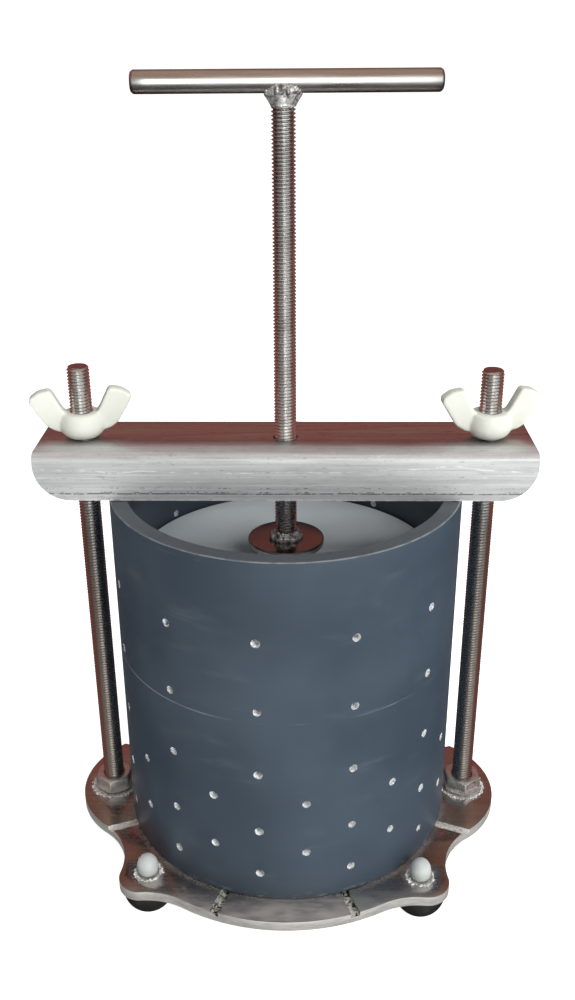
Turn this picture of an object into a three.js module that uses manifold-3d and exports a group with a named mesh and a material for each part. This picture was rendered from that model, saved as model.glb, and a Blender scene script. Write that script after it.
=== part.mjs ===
// A small screw cheese press: a perforated cylinder stands on a footed base plate, two threaded
// tie rods hold a channel crossbar down on its rim, and a tee-handled screw pushes a plastic
// follower down inside it. Millimetres, +Z up, origin on the floor under the cylinder's axis.
import * as THREE from 'three';
import { mergeVertices } from 'three/addons/utils/BufferGeometryUtils.js';
import Module from 'manifold-3d';

const wasm = await Module();
wasm.setup();

// ---- driving dimensions ----
const GAP = 0.3;                 // clearance left between pieces that touch
const BORE_CLEARANCE = 0.25;     // radial clearance of nuts and holes on plain rods

const FOOT_HEIGHT = 12.5;
const FOOT_R = 12.2;
const FOOT_CENTRE_Z = 9.5;       // the feet are part of a ball, cut flat above and below
const FOOT_X = 63.9;             // feet stand at (+-63.9, +-63.9) before the plate is turned

const PLATE_T = 5;
const PLATE_TOP = FOOT_HEIGHT + PLATE_T;
const PLATE_R = 93.3;
const PLATE_TURN_DEG = -0.8;     // the feet sit slightly turned from the tie rods' line
const EAR_X = 65;
const EAR_R = 41.3;
const LOBE_D = 94;
const LOBE_R = 10.7;
const EAR_FILLET_R = 31.5;
const LOBE_FILLET_R = 33.5;
const GROOVE_W = 4.2;
const GROOVE_D = 2;
const GROOVE_START_R = 62;
const GROOVE_AZIMUTHS = [20, 68.5];   // from the front and back centre line, each side

const CYL_OD = 160;
const CYL_ID = 144.6;
const CYL_H = 172.9;
const CYL_BOTTOM = PLATE_TOP + GAP;
const CYL_TOP = CYL_BOTTOM + CYL_H;
const HOLE_R = 1.8;
const HOLE_COLUMNS = 12;
const HOLE_OFFSET_DEG = -8;
const MAIN_ROWS = [15, 39, 70, 102.5, 136];
const OFFSET_ROWS = [27.5, 54.5];

const ROD_R = 5;                 // M10 threaded rod, drawn plain at its outer diameter
const ROD_CHAMFER = 1;
const TIE_X = 90.7;
const TIE_BOTTOM = 2.5;
const TIE_TOP = { left: PLATE_TOP + 228, right: PLATE_TOP + 226.3 };
const NUT_AF = 17;
const NUT_H = 8;

const BAR_HALF_L = 109.6;
const BAR_W = 45;
const BAR_T = 3;
const BAR_BEND_R = 4;
const BAR_BOTTOM = CYL_TOP + GAP;
const BAR_TOP = PLATE_TOP + 195.1;
const BAR_CORNER_R = 16;

const FOLLOWER_R = 71.4;
const FOLLOWER_T = 25;
const FOLLOWER_TOP = PLATE_TOP + 134;
const FOLLOWER_BOTTOM = FOLLOWER_TOP - FOLLOWER_T;
const RECESS_R = 15;
const RECESS_DEPTH = 16;
const WASHER_R = 12.5;
const WASHER_T = 2;
const RETAINER_H = 5;

const SPINDLE_BOTTOM = PLATE_TOP + 116;
const DISC_R = 17.75;
const DISC_T = 3;
const DISC_BOTTOM = PLATE_TOP + 142;
const DISC_BEAD_H = 4.5;

const HANDLE_Z = PLATE_TOP + 343.2;
const HANDLE_R = 4.5;
const HANDLE_L = 122.6;
const HANDLE_SHIFT = 1.7;        // the bar is welded on slightly off its middle
const HANDLE_TURN_DEG = 3;      // how far the screw stands turned at rest

const WING_HUB_H = 11.6;
const WING_T = 6;
const WING_TURN_DEG = { left: 10, right: 6 };

const CAP_R = 4.9;
const CAP_H = 10;
const STUD_R = 3;

// ---- materials ----
const steel = new THREE.MeshStandardMaterial({ color: 0xa39a92, roughness: 0.3, metalness: 1 });
const brushed = new THREE.MeshStandardMaterial({ color: 0xbdb7ae, roughness: 0.35, metalness: 1 });
const pvc = new THREE.MeshStandardMaterial({ color: 0x3b434b, roughness: 0.4, metalness: 0 });
const nylon = new THREE.MeshStandardMaterial({ color: 0xf2f1e6, roughness: 0.45, metalness: 0 });
const hdpe = new THREE.MeshStandardMaterial({ color: 0xe6e8ea, roughness: 0.5, metalness: 0 });
const rubber = new THREE.MeshStandardMaterial({ color: 0x17181a, roughness: 0.75, metalness: 0 });

const press = new THREE.Group();

// ---- geometry helpers ----
const rad = THREE.MathUtils.degToRad;

function signedVolume(position, index) {
  const a = new THREE.Vector3();
  const b = new THREE.Vector3();
  const c = new THREE.Vector3();
  let volume = 0;
  for (let i = 0; i < index.length; i += 3) {
    a.fromBufferAttribute(position, index[i]);
    b.fromBufferAttribute(position, index[i + 1]);
    c.fromBufferAttribute(position, index[i + 2]);
    volume += a.dot(b.cross(c)) / 6;
  }
  return volume;
}

// Welds a geometry's shared corners, drops empty triangles and turns its faces outwards.
function welded(geometry) {
  const bare = geometry.clone();
  bare.deleteAttribute('normal');
  bare.deleteAttribute('uv');
  const merged = mergeVertices(bare, 1e-3);
  const old = merged.index.array;
  const index = [];
  for (let i = 0; i < old.length; i += 3) {
    const [a, b, c] = [old[i], old[i + 1], old[i + 2]];
    if (a !== b && b !== c && c !== a) {
      index.push(a, b, c);
    }
  }
  if (signedVolume(merged.getAttribute('position'), index) < 0) {
    for (let i = 0; i < index.length; i += 3) {
      [index[i + 1], index[i + 2]] = [index[i + 2], index[i + 1]];
    }
  }
  merged.setIndex(index);
  return merged;
}

function toSolid(geometry) {
  const g = welded(geometry);
  return new wasm.Manifold(new wasm.Mesh({
    numProp: 3,
    vertProperties: new Float32Array(g.getAttribute('position').array),
    triVerts: new Uint32Array(g.index.array),
  }));
}

function toGeometry(solid) {
  const mesh = solid.getMesh();
  const g = new THREE.BufferGeometry();
  g.setAttribute('position', new THREE.BufferAttribute(new Float32Array(mesh.vertProperties), 3));
  g.setIndex(new THREE.BufferAttribute(new Uint32Array(mesh.triVerts), 1));
  g.computeVertexNormals();
  return g;
}

function cut(geometry, tools) {
  let solid = toSolid(geometry);
  for (const tool of tools) {
    solid = solid.subtract(toSolid(tool));
  }
  return toGeometry(solid);
}

function join(geometries) {
  let solid = toSolid(geometries[0]);
  for (const other of geometries.slice(1)) {
    solid = solid.add(toSolid(other));
  }
  return toGeometry(solid);
}

// A solid of revolution about Z from [radius, height] pairs.
function turned(profile, segments = 18, start = 0) {
  const points = profile.map(([r, z]) => new THREE.Vector2(r, z));
  const g = new THREE.LatheGeometry(points, segments, start);
  g.rotateX(Math.PI / 2);
  return welded(g);
}

// A ring about Z, closed on itself.
function ring(inner, outer, bottom, top, segments = 20, start = 0) {
  const profile = [[inner, bottom], [outer, bottom], [outer, top], [inner, top], [inner, bottom]];
  return turned(profile, segments, start);
}

function rod(r, bottom, top, chamfer = 0, segments = 16) {
  const profile = [[0, bottom], [r - chamfer, bottom]];
  if (chamfer > 0) {
    profile.push([r, bottom + chamfer], [r, top - chamfer]);
  } else {
    profile.push([r, top]);
  }
  if (chamfer > 0) {
    profile.push([r - chamfer, top]);
  }
  profile.push([0, top]);
  return turned(profile, segments);
}

// A flat outline in XY raised from one height to another, with round holes {x, y, r}.
function plateOf(points, bottom, top, holes = []) {
  const shape = new THREE.Shape(points.map(([x, y]) => new THREE.Vector2(x, y)));
  for (const hole of holes) {
    const path = new THREE.Path();
    path.absarc(hole.x, hole.y, hole.r, 0, 2 * Math.PI, true);
    shape.holes.push(path);
  }
  const options = { depth: top - bottom, bevelEnabled: false, curveSegments: 8 };
  const g = new THREE.ExtrudeGeometry(shape, options);
  g.translate(0, 0, bottom);
  return welded(g);
}

function hexagon(acrossFlats, turn = 0) {
  const r = acrossFlats / Math.sqrt(3);
  const points = [];
  for (let i = 0; i < 6; i += 1) {
    const a = turn + i * Math.PI / 3;
    points.push([r * Math.cos(a), r * Math.sin(a)]);
  }
  return points;
}

function hexNut(bottom, height, turn) {
  const bore = [{ x: 0, y: 0, r: ROD_R + BORE_CLEARANCE }];
  return plateOf(hexagon(NUT_AF, turn), bottom, bottom + height, bore);
}

function add(name, geometry, material, x = 0, y = 0) {
  const mesh = new THREE.Mesh(geometry, material.clone());
  mesh.name = name;
  mesh.position.set(x, y, 0);
  press.add(mesh);
}

// ---- base plate ----
// Points of an arc from one angle to another, ends included.
function arc(cx, cy, r, from, to, steps) {
  const points = [];
  for (let i = 0; i <= steps; i += 1) {
    const a = from + (to - from) * i / steps;
    points.push([cx + r * Math.cos(a), cy + r * Math.sin(a)]);
  }
  return points;
}

// The centre of the circle of radius r that touches two circles from outside, clockwise of
// the line from the first to the second.
function touching(c1, r1, c2, r2, r) {
  const dx = c2[0] - c1[0];
  const dy = c2[1] - c1[1];
  const d = Math.hypot(dx, dy);
  const along = ((r1 + r) ** 2 - (r2 + r) ** 2 + d * d) / (2 * d);
  const aside = Math.sqrt((r1 + r) ** 2 - along ** 2);
  return [c1[0] + (dx * along + dy * aside) / d, c1[1] + (dy * along - dx * aside) / d];
}

// The direction from one point to another, from 0 to a full turn.
function bearing(from, to) {
  const a = Math.atan2(to[1] - from[1], to[0] - from[0]);
  return a < 0 ? a + 2 * Math.PI : a;
}

// The outline's quarter from +X to +Y: ear, hollow, foot lobe, hollow, main circle.
function quarterOutline() {
  const middle = [0, 0];
  const ear = [EAR_X, 0];
  const lobe = [LOBE_D * Math.SQRT1_2, LOBE_D * Math.SQRT1_2];
  const hollow = touching(ear, EAR_R, lobe, LOBE_R, EAR_FILLET_R);
  const saddle = touching(lobe, LOBE_R, middle, PLATE_R, LOBE_FILLET_R);
  const lobeStart = bearing(lobe, hollow) - 2 * Math.PI;
  return [
    ...arc(...ear, EAR_R, 0, bearing(ear, hollow), 8),
    ...arc(...hollow, EAR_FILLET_R, bearing(hollow, ear), bearing(hollow, lobe), 5).slice(1),
    ...arc(...lobe, LOBE_R, lobeStart, bearing(lobe, saddle), 10).slice(1),
    ...arc(...saddle, LOBE_FILLET_R, bearing(saddle, lobe), bearing(saddle, middle), 5).slice(1),
    ...arc(...middle, PLATE_R, bearing(middle, saddle), Math.PI / 2, 6).slice(1),
  ];
}

function plateOutline() {
  const q = quarterOutline();
  const back = q.map(([x, y]) => [-x, y]).reverse().slice(1);
  const half = [...q, ...back];
  const front = half.map(([x, y]) => [-x, -y]).slice(1, -1);
  return [...half, ...front];
}

function turnedPoint(x, y) {
  const a = rad(PLATE_TURN_DEG);
  return [x * Math.cos(a) - y * Math.sin(a), x * Math.sin(a) + y * Math.cos(a)];
}

function grooveCutter(azimuth) {
  const length = 2 * PLATE_R;
  const half = GROOVE_W / 2;
  const outline = [
    [GROOVE_START_R + length, -half],
    [GROOVE_START_R + length, half],
    ...arc(GROOVE_START_R, 0, half, Math.PI / 2, 3 * Math.PI / 2, 6),
  ];
  const g = plateOf(outline, PLATE_TOP - GROOVE_D, PLATE_TOP + 1);
  g.rotateZ(azimuth);
  return g;
}

function basePlate() {
  const holes = [-TIE_X, TIE_X].map((x) => ({ x, y: 0, r: ROD_R + BORE_CLEARANCE }));
  for (const sx of [-1, 1]) {
    for (const sy of [-1, 1]) {
      const [x, y] = turnedPoint(sx * FOOT_X, sy * FOOT_X);
      holes.push({ x, y, r: STUD_R + BORE_CLEARANCE });
    }
  }
  const outline = plateOutline().map(([x, y]) => turnedPoint(x, y));
  const blank = plateOf(outline, FOOT_HEIGHT, PLATE_TOP, holes);
  const grooves = [];
  for (const azimuth of GROOVE_AZIMUTHS) {
    for (const centre of [-90, 90]) {
      grooves.push(grooveCutter(rad(centre + azimuth)), grooveCutter(rad(centre - azimuth)));
    }
  }
  return cut(blank, grooves);
}
add('base_plate', basePlate(), steel);

// ---- feet ----
function rubberFoot() {
  const top = FOOT_HEIGHT - GAP;
  const bore = STUD_R + BORE_CLEARANCE;
  const radius = (z) => Math.sqrt(FOOT_R ** 2 - (z - FOOT_CENTRE_Z) ** 2);
  const side = [0, 1.2, 2.8, 4.8, 7.2, 9.5, top].map((z) => [radius(z), z]);
  return turned([[0, 0], ...side, [bore, top], [bore, 4], [0, 4]]);
}

function capNut() {
  const bottom = PLATE_TOP + GAP;
  const top = PLATE_TOP + CAP_H;
  const bore = STUD_R + BORE_CLEARANCE;
  return turned([
    [bore, bottom], [4.4, bottom], [CAP_R, bottom + 1.6], [CAP_R, top - 5], [4.3, top - 2.5],
    [2.9, top - 0.9], [0, top], [0, top - 1.8], [bore, top - 3.4], [bore, bottom],
  ], 18);
}

const CORNERS = { front_left: [-1, -1], front_right: [1, -1], back_right: [1, 1], back_left: [-1, 1] };
for (const [corner, [sx, sy]] of Object.entries(CORNERS)) {
  const [x, y] = turnedPoint(sx * FOOT_X, sy * FOOT_X);
  add(`rubber_foot_${corner}`, rubberFoot(), rubber, x, y);
  add(`foot_stud_${corner}`, rod(STUD_R, 4.3, PLATE_TOP + 5.6, 0, 16), brushed, x, y);
  add(`cap_nut_${corner}`, capNut(), nylon, x, y);
}

// ---- tie rods ----
for (const [side, sx] of [['left', -1], ['right', 1]]) {
  const x = sx * TIE_X;
  add(`tie_rod_${side}`, rod(ROD_R, TIE_BOTTOM, TIE_TOP[side], ROD_CHAMFER), brushed, x);
  add(`tie_upper_nut_${side}`, hexNut(PLATE_TOP + GAP, NUT_H, Math.PI / 6 + rad(sx * 4)), brushed, x);
  add(`tie_lower_nut_${side}`, hexNut(FOOT_HEIGHT - GAP - NUT_H, NUT_H, 0), brushed, x);
}

// ---- perforated cylinder ----
function radialHole(azimuth, height) {
  const g = new THREE.CylinderGeometry(HOLE_R, HOLE_R, 20, 6);
  g.translate(0, -CYL_OD / 2 + 4, 0);
  g.rotateZ(azimuth);
  g.translate(0, 0, PLATE_TOP + height);
  return g;
}

function pressingCylinder() {
  const tube = ring(CYL_ID / 2, CYL_OD / 2, CYL_BOTTOM, CYL_TOP, 48);
  const holes = [];
  const step = 360 / HOLE_COLUMNS;
  for (let i = 0; i < HOLE_COLUMNS; i += 1) {
    const main = rad(HOLE_OFFSET_DEG + i * step);
    for (const z of MAIN_ROWS) {
      holes.push(radialHole(main, z));
    }
    for (const z of OFFSET_ROWS) {
      holes.push(radialHole(main + rad(step / 2), z));
    }
  }
  return cut(tube, holes);
}
add('pressing_cylinder', pressingCylinder(), pvc);

// ---- crossbar: an inverted channel ----
function channelProfile() {
  const w = BAR_W / 2;
  const rIn = BAR_BEND_R - BAR_T;
  const steps = 5;
  return [
    [-w, BAR_BOTTOM],
    [-w + BAR_T, BAR_BOTTOM],
    ...arc(-w + BAR_BEND_R, BAR_TOP - BAR_BEND_R, rIn, Math.PI, Math.PI / 2, steps),
    ...arc(w - BAR_BEND_R, BAR_TOP - BAR_BEND_R, rIn, Math.PI / 2, 0, steps),
    [w - BAR_T, BAR_BOTTOM],
    [w, BAR_BOTTOM],
    ...arc(w - BAR_BEND_R, BAR_TOP - BAR_BEND_R, BAR_BEND_R, 0, Math.PI / 2, steps),
    ...arc(-w + BAR_BEND_R, BAR_TOP - BAR_BEND_R, BAR_BEND_R, Math.PI / 2, Math.PI, steps),
  ];
}

// Takes the square lower corner off both flanges at one end, leaving a quarter round.
function cornerCutter(side) {
  const outline = [
    [BAR_HALF_L - BAR_CORNER_R, BAR_BOTTOM - 2],
    [BAR_HALF_L + 2, BAR_BOTTOM - 2],
    [BAR_HALF_L + 2, BAR_BOTTOM + BAR_CORNER_R],
    ...arc(BAR_HALF_L - BAR_CORNER_R, BAR_BOTTOM + BAR_CORNER_R, BAR_CORNER_R, 0, -Math.PI / 2, 8),
  ];
  const g = plateOf(outline, -BAR_W, BAR_W);
  g.rotateX(Math.PI / 2);
  if (side < 0) {
    g.rotateZ(Math.PI);
  }
  return g;
}

function crossbar() {
  const shape = new THREE.Shape(channelProfile().map(([y, z]) => new THREE.Vector2(y, z)));
  const g = new THREE.ExtrudeGeometry(shape, { depth: 2 * BAR_HALF_L, bevelEnabled: false });
  g.translate(0, 0, -BAR_HALF_L);
  g.rotateX(Math.PI / 2);
  g.rotateZ(Math.PI / 2);
  const bores = [-TIE_X, 0, TIE_X].map((x) => {
    const r = x === 0 ? ROD_R + 0.5 : ROD_R + 0.75;
    return rod(r, BAR_TOP - 10, BAR_TOP + 2).translate(x, 0, 0);
  });
  return cut(g, [cornerCutter(1), cornerCutter(-1), ...bores]);
}
add('crossbar', crossbar(), brushed);
add('spindle_nut', hexNut(BAR_TOP - BAR_T - GAP - NUT_H, NUT_H, 0), brushed);

// ---- follower ----
function follower() {
  const c = 1.2;
  const roof = FOLLOWER_BOTTOM + RECESS_DEPTH;
  const bore = ROD_R + 0.6;
  return turned([
    [bore, FOLLOWER_TOP], [FOLLOWER_R - c, FOLLOWER_TOP], [FOLLOWER_R, FOLLOWER_TOP - c],
    [FOLLOWER_R, FOLLOWER_BOTTOM + c], [FOLLOWER_R - c, FOLLOWER_BOTTOM],
    [RECESS_R, FOLLOWER_BOTTOM], [RECESS_R, roof], [bore, roof], [bore, FOLLOWER_TOP],
  ], 48);
}
add('follower_plate', follower(), hdpe);

// ---- screw: rod, tee handle, foot disc and the retainer inside the follower ----
const RETAINER_TOP = FOLLOWER_BOTTOM + RECESS_DEPTH - GAP;
const HANDLE_BOTTOM = HANDLE_Z - HANDLE_R;

function teeHandle() {
  const g = rod(HANDLE_R, -HANDLE_L / 2, HANDLE_L / 2, 0.8);
  g.rotateY(Math.PI / 2);
  g.translate(HANDLE_SHIFT, 0, HANDLE_Z);
  g.rotateZ(rad(HANDLE_TURN_DEG));
  return g;
}

function handleWeld() {
  const r = ROD_R + BORE_CLEARANCE;
  const top = HANDLE_BOTTOM - GAP;
  return turned([
    [r, top - 4], [r + 0.4, top - 4], [6, top - 2], [7.4, top], [r, top], [r, top - 4],
  ]);
}

function footWeld() {
  const r = ROD_R + BORE_CLEARANCE;
  const bottom = DISC_BOTTOM + DISC_T + GAP;
  const top = bottom + DISC_BEAD_H;
  return turned([
    [r, bottom], [7.5, bottom], [7.2, bottom + 2], [6.2, top - 1], [r, top], [r, bottom],
  ]);
}

const BORE_R = ROD_R + BORE_CLEARANCE;
add('spindle_rod', rod(ROD_R, SPINDLE_BOTTOM, HANDLE_BOTTOM - GAP, 0), brushed);
add('tee_handle', teeHandle(), brushed);
add('handle_weld', handleWeld(), steel);
add('foot_disc', ring(BORE_R, DISC_R, DISC_BOTTOM, DISC_BOTTOM + DISC_T, 36), steel);
add('foot_weld', footWeld(), steel);
add('retaining_washer', ring(BORE_R, WASHER_R, RETAINER_TOP - WASHER_T, RETAINER_TOP), brushed);
add('retaining_nut', hexNut(RETAINER_TOP - WASHER_T - GAP - RETAINER_H, RETAINER_H, 0), brushed);

// ---- wing nuts ----
// One wing in the XZ plane: it leaves the hub low, leans outwards and has a bevelled tip.
function wingBlade() {
  const outline = [
    [6.4, 3], [9.4, 3.3], [12, 4], [15.6, 6.4], [22.2, 17.2], [21.8, 19.1],
    [18, 21.8], [13.2, 22.5], [12.1, 21.5], [7.9, 13.1], [6.4, 11.4],
  ];
  const g = plateOf(outline, -WING_T / 2, WING_T / 2);
  g.rotateX(Math.PI / 2);
  return g;
}

function wingNut(turn) {
  const hub = turned([
    [0, 0], [5.9, 0], [7.6, 1], [9.3, 3], [9.9, 5.2], [9.5, 8], [8.6, WING_HUB_H - 0.8],
    [7.7, WING_HUB_H], [0, WING_HUB_H],
  ]);
  const right = wingBlade();
  const left = wingBlade().rotateZ(Math.PI);
  const bore = rod(BORE_R, -2, WING_HUB_H + 2);
  const g = toGeometry(toSolid(join([hub, left, right])).subtract(toSolid(bore)));
  g.rotateZ(rad(turn));
  g.translate(0, 0, BAR_TOP + GAP);
  return g;
}
add('wing_nut_left', wingNut(WING_TURN_DEG.left), nylon, -TIE_X);
add('wing_nut_right', wingNut(WING_TURN_DEG.right), nylon, TIE_X);

export default press;
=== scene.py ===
"""Screw cheese press: detailed pieces, materials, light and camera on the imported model's frame."""

import math
import random

import bmesh
import bpy
from mathutils import Matrix, Vector


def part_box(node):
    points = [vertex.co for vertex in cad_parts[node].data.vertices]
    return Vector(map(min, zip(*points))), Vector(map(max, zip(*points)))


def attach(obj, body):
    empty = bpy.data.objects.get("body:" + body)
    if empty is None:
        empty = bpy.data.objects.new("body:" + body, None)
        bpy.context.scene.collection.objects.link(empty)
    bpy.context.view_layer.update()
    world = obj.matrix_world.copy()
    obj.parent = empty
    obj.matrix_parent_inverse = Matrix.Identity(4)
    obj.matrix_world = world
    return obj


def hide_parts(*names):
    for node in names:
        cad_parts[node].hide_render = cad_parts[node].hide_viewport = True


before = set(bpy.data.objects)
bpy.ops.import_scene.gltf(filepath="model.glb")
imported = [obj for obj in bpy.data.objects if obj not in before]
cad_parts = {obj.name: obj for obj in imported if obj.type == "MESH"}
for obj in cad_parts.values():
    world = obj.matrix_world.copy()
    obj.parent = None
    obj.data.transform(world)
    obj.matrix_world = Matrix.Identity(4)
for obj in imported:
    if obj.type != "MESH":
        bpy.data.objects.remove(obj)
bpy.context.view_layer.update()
MM = 0.001
SCENE = bpy.context.scene
SCENE.view_settings.view_transform = "Standard"


# ---------------------------------------------------------------- places from the frame
def box_mm(node):
    """Lowest and highest corner of a CAD node in millimetres."""
    lo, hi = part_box(node)
    return Vector(lo) / MM, Vector(hi) / MM


def middle(node):
    lo, hi = box_mm(node)
    return (lo + hi) / 2


PLATE_LO, PLATE_HI = box_mm("base_plate")
PLATE_TOP = PLATE_HI.z
PLATE_BOTTOM = PLATE_LO.z
CYL_LO, CYL_HI = box_mm("pressing_cylinder")
BAR_LO, BAR_HI = box_mm("crossbar")
TIE_X = middle("tie_rod_right").x
HANDLE = middle("tee_handle")
CORNERS = ("front_left", "front_right", "back_left", "back_right")
FEET = [middle(f"rubber_foot_{corner}") for corner in CORNERS]
FOOT_X = abs((FEET[0] - FEET[2]).y) / 2
PLATE_TURN = math.radians(-0.8)
HANDLE_TURN = math.radians(3)
PITCH = 1.5
ROD_R = 5.0
STUD_R = 3.0
STUD_PITCH = 1.0
THREAD_DEPTH = 0.62
RING_LINE = 97.0


# ---------------------------------------------------------------- mesh helpers
def link(obj):
    SCENE.collection.objects.link(obj)
    return obj


def make(name, verts, faces, materials, indices=None, crease=30.0, closed=True):
    """A piece from vertices in millimetres, smooth except over edges sharper than crease."""
    mesh = bpy.data.meshes.new(name)
    mesh.from_pydata([tuple(c * MM for c in v) for v in verts], [], faces)
    if closed:
        form = bmesh.new()
        form.from_mesh(mesh)
        bmesh.ops.recalc_face_normals(form, faces=form.faces)
        form.to_mesh(mesh)
        form.free()
    for material in materials:
        mesh.materials.append(material)
    if indices is not None:
        mesh.polygons.foreach_set("material_index", indices)
    mesh.validate()
    mesh.update()
    shade(mesh, crease)
    return link(bpy.data.objects.new(name, mesh))


def shade(mesh, crease):
    mesh.shade_smooth()
    mesh.set_sharp_from_angle(angle=math.radians(crease))


def settle(obj, crease=None):
    """Applies the object's modifiers to its mesh."""
    bpy.context.view_layer.update()
    graph = bpy.context.evaluated_depsgraph_get()
    mesh = bpy.data.meshes.new_from_object(obj.evaluated_get(graph))
    obj.modifiers.clear()
    obj.data = mesh
    if crease is not None:
        shade(mesh, crease)
    return obj


def bevel(obj, width_mm, segments=2, limit=35.0):
    mod = obj.modifiers.new("bevel", "BEVEL")
    mod.width = width_mm * MM
    mod.segments = segments
    mod.limit_method = "ANGLE"
    mod.angle_limit = math.radians(limit)
    mod.miter_outer = "MITER_ARC"
    return mod


def cut(obj, cutters):
    """Takes the cutters out of obj and removes them. Cut faces keep the cutter's material."""
    for cutter in cutters:
        mod = obj.modifiers.new("cut", "BOOLEAN")
        mod.object = cutter
        mod.operation = "DIFFERENCE"
        mod.solver = "EXACT"
        mod.material_mode = "TRANSFER"
        settle(obj)
        bpy.data.objects.remove(cutter)
    return obj


def revolve(profile, segments=64, closed=False):
    """Vertices and faces of a profile of (radius, height) turned about Z. Points on the axis
    close the form; closed joins the last point to the first."""
    verts, rows = [], []
    for r, z in profile:
        if r < 1e-6:
            rows.append([len(verts)] * segments)
            verts.append((0.0, 0.0, z))
            continue
        rows.append(list(range(len(verts), len(verts) + segments)))
        for i in range(segments):
            a = 2 * math.pi * i / segments
            verts.append((r * math.cos(a), r * math.sin(a), z))
    faces = []
    pairs = list(zip(rows, rows[1:]))
    if closed:
        pairs.append((rows[-1], rows[0]))
    for low, high in pairs:
        for i in range(segments):
            j = (i + 1) % segments
            face = []
            for v in (low[i], low[j], high[j], high[i]):
                if v not in face:
                    face.append(v)
            if len(face) > 2:
                faces.append(face)
    return verts, faces


def rounded(profile, radius, steps=4):
    """The profile with each inner corner replaced by an arc-like curve of about that radius."""
    out = [profile[0]]
    for a, b, c in zip(profile, profile[1:], profile[2:]):
        a, b, c = Vector(a), Vector(b), Vector(c)
        d1, d2 = a - b, c - b
        cap = min(radius, d1.length * 0.45, d2.length * 0.45)
        p, q = b + d1.normalized() * cap, b + d2.normalized() * cap
        for i in range(steps + 1):
            t = i / steps
            out.append(tuple((1 - t) ** 2 * p + 2 * t * (1 - t) * b + t * t * q))
    out.append(profile[-1])
    return out


def moved(verts, x=0.0, y=0.0, z=0.0, turn=0.0):
    c, s = math.cos(turn), math.sin(turn)
    return [(c * v[0] - s * v[1] + x, s * v[0] + c * v[1] + y, v[2] + z) for v in verts]


def arc(cx, cy, r, start, end, steps):
    points = []
    for i in range(steps + 1):
        a = start + (end - start) * i / steps
        points.append((cx + r * math.cos(a), cy + r * math.sin(a)))
    return points


def prism(points, low, high):
    """Vertices and faces of a flat outline raised between two heights."""
    n = len(points)
    verts = [(x, y, low) for x, y in points] + [(x, y, high) for x, y in points]
    faces = [list(range(n))[::-1], list(range(n, 2 * n))]
    faces += [[i, (i + 1) % n, n + (i + 1) % n, n + i] for i in range(n)]
    return verts, faces


def voxel(obj, size_mm, smooth=2, crease=180.0):
    """Melts an object of overlapping forms into one skin."""
    mod = obj.modifiers.new("melt", "REMESH")
    mod.mode = "VOXEL"
    mod.voxel_size = size_mm * MM
    if smooth:
        mod = obj.modifiers.new("even", "SMOOTH")
        mod.factor = 0.5
        mod.iterations = smooth
    return settle(obj, crease)


def ball(centre, radii, rings=8, segments=12):
    """Vertices and faces of an ellipsoid in millimetres."""
    profile = []
    for i in range(rings + 1):
        a = -math.pi / 2 + math.pi * i / rings
        profile.append((max(0.0, math.cos(a)), math.sin(a)))
    profile[0], profile[-1] = (0.0, -1.0), (0.0, 1.0)
    verts, faces = revolve(profile, segments)
    out = []
    for v in verts:
        out.append(tuple(centre[k] + v[k] * radii[k] for k in range(3)))
    return out, faces


def merged(parts):
    verts, faces = [], []
    for v, f in parts:
        base = len(verts)
        verts += v
        faces += [[i + base for i in face] for face in f]
    return verts, faces


def place(obj, body, node):
    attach(obj, body)
    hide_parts(node)
    return obj


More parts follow.
